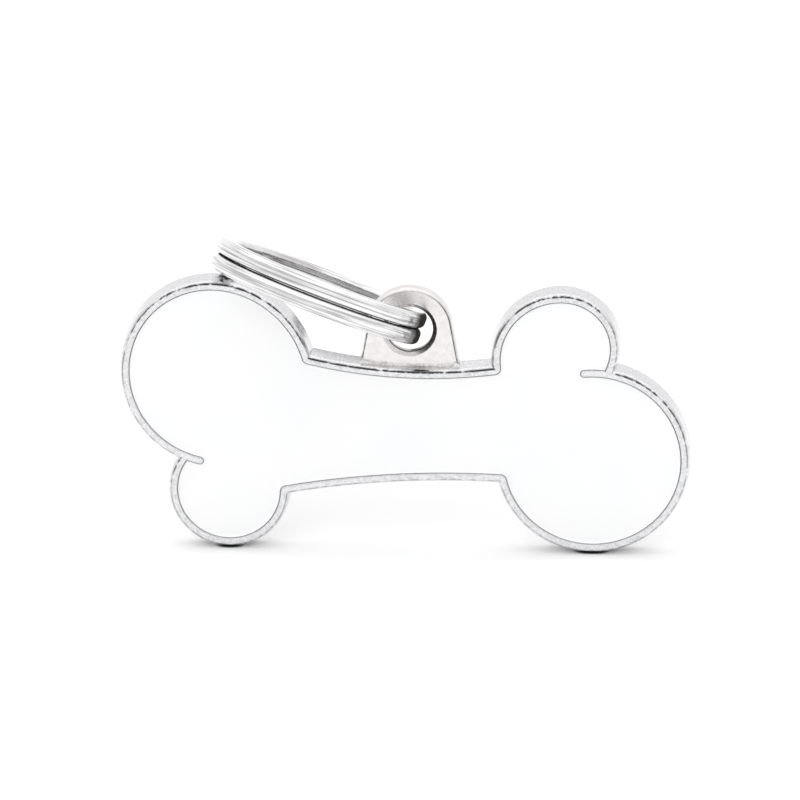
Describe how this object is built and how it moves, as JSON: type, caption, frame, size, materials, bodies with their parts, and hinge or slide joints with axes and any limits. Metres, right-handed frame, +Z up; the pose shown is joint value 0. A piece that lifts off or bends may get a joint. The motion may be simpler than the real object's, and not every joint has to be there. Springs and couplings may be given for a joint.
{
  "type": "pet id tag",
  "caption": "Bone-shaped cast metal pet tag with a raised border round a white enamel panel, a brazed hanging lug and a swinging split ring.",
  "frame": {"origin": "centre of the bounding box at its bottom, where the tag's two lower lobes stand", "axes": "+X along the tag towards the lobe with the curl above it, +Y from the enamelled front to the flat back, +Z up"},
  "size_m": [0.0422, 0.0162, 0.0241],
  "materials": {
    "plated_casting": "bright nickel plate over a cast surface",
    "white_enamel": "glossy, slightly drawn up at its edge",
    "plated_lug": "dull nickel plate over a cast surface",
    "brazing_metal": "dull, rough",
    "ring_wire": "bright nickel plate on drawn wire"
  },
  "bodies": {
    "tag": {"tag_body": "plated_casting", "enamel_fill": "white_enamel", "hanger_lug": "plated_lug", "lug_brazing": "brazing_metal"},
    "ring": {"split_ring": "ring_wire"}
  },
  "joints": [
    {"name": "ring_swing", "type": "hinge", "parent": "tag", "child": "ring", "pos_m": [0.0003, 0, 0.01698], "axis": [0, 1, 0], "range_deg": [0, 142]}
  ]
}
